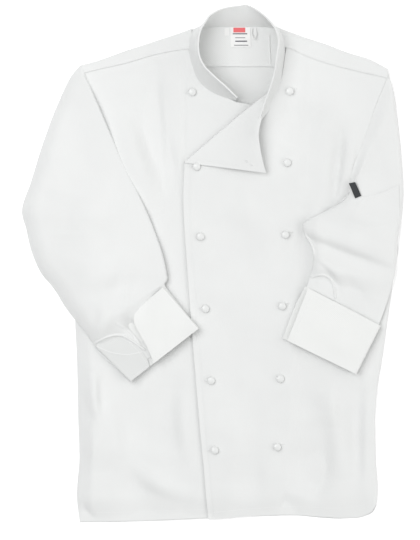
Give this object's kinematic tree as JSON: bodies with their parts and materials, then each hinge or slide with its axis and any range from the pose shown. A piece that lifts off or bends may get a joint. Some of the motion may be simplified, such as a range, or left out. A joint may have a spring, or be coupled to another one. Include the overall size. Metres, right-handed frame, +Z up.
{
  "type": "chef jacket",
  "caption": "White double-breasted chef jacket with a stand collar, turned-back front corner, stud buttons and deep turned-back cuffs, lying flat with folded sleeves.",
  "frame": {"origin": "middle of the jacket's outline, on the surface that its back lies on", "axes": "+X to the wearer's left, +Y from hem to collar, +Z up from the surface to the front of the jacket"},
  "size_m": [0.6116, 0.8274, 0.0516],
  "materials": {
    "white_twill": "matte bleached twill",
    "white_tape": "woven label tape",
    "charcoal_tape": "matte woven tape",
    "gloss_white": "polished stud button"
  },
  "bodies": {
    "root": {"back_panel": "white_twill", "yoke": "white_twill", "front_right": "white_twill", "front_left": "white_twill", "front_left_turned_corner": "white_twill", "collar": "white_twill", "sleeve_right": "white_twill", "sleeve_left": "white_twill", "cuff_right": "white_twill", "cuff_left": "white_twill", "sleeve_pocket": "white_twill", "vent_right": "white_twill", "vent_left": "white_twill", "pocket_tag": "charcoal_tape", "neck_label": "white_tape", "size_tab": "white_tape", "hanger_loop": "white_tape", "button_right_1": "gloss_white", "button_right_2": "gloss_white", "button_right_3": "gloss_white", "button_right_4": "gloss_white", "button_right_5": "gloss_white", "button_right_6": "gloss_white", "button_left_1": "gloss_white", "button_left_2": "gloss_white", "button_left_3": "gloss_white", "button_left_4": "gloss_white", "button_left_5": "gloss_white", "button_left_6": "gloss_white"}
  },
  "joints": []
}
